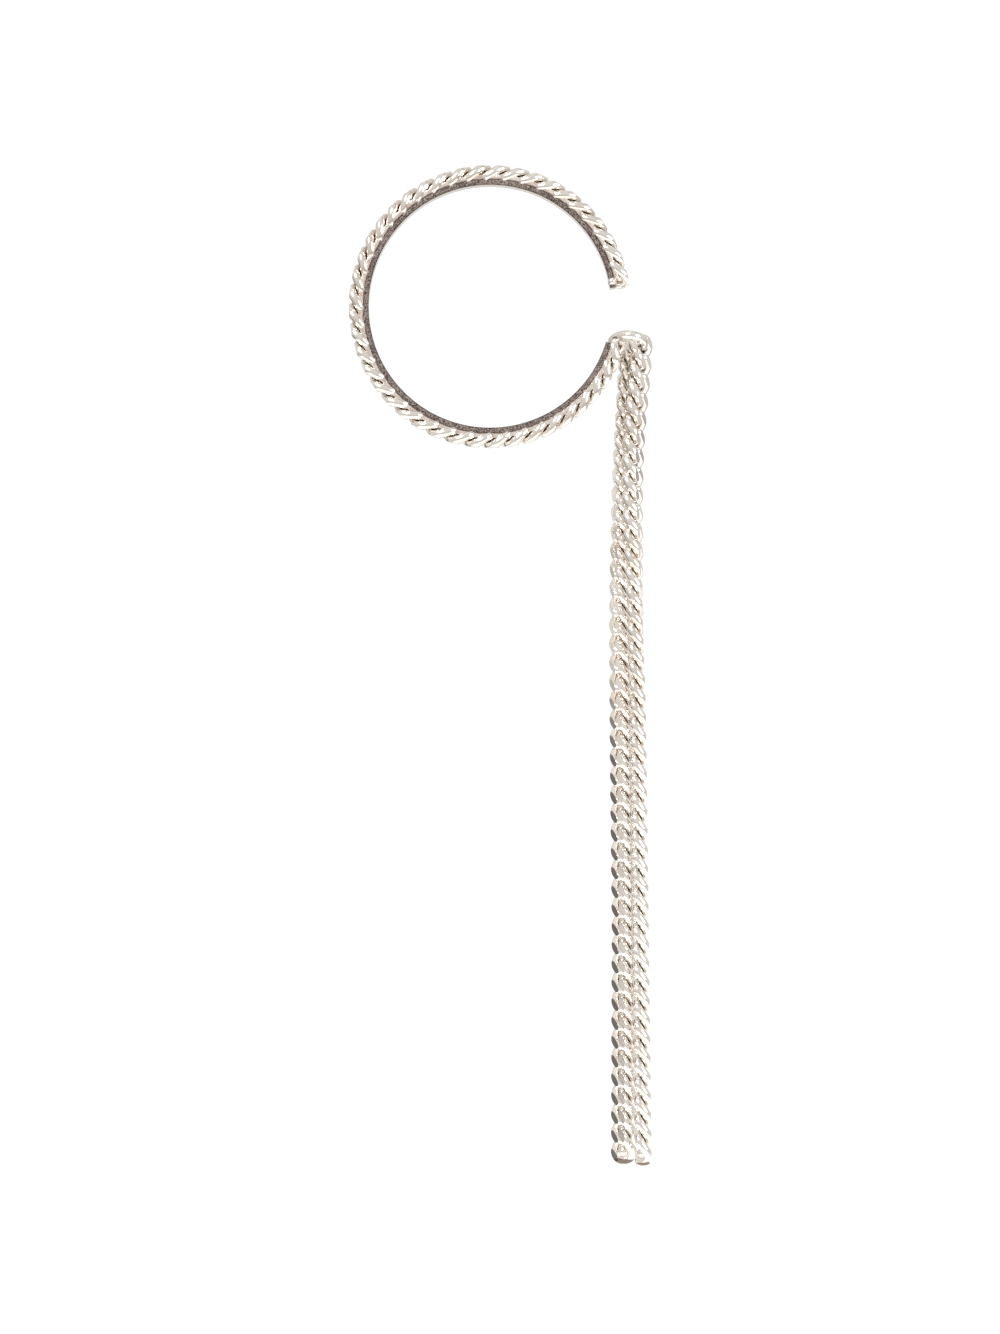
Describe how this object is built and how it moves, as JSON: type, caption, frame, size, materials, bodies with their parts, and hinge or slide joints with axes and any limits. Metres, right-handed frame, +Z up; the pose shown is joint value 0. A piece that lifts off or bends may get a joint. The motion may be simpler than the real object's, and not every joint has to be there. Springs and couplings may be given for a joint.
{
  "type": "ear chain earring",
  "caption": "Open hoop of flat band with a curb chain soldered round it, worn round the whole ear, carrying two long hanging strands of curb chain.",
  "frame": {"origin": "on the band's inner face at its top, midway between its front and back, where the hoop hangs on the root of the ear", "axes": "+Z up, along the hanging strands; the hoop lies in the XZ plane with its opening towards +X; the front, seen in the picture, faces -Y"},
  "size_m": [0.064, 0.0138, 0.2114],
  "materials": {
    "hoop_silver": "polished",
    "chain_silver": "polished"
  },
  "bodies": {
    "root": {"ear_hoop": "hoop_silver", "right_strand": "chain_silver", "left_strand": "chain_silver"}
  },
  "joints": []
}
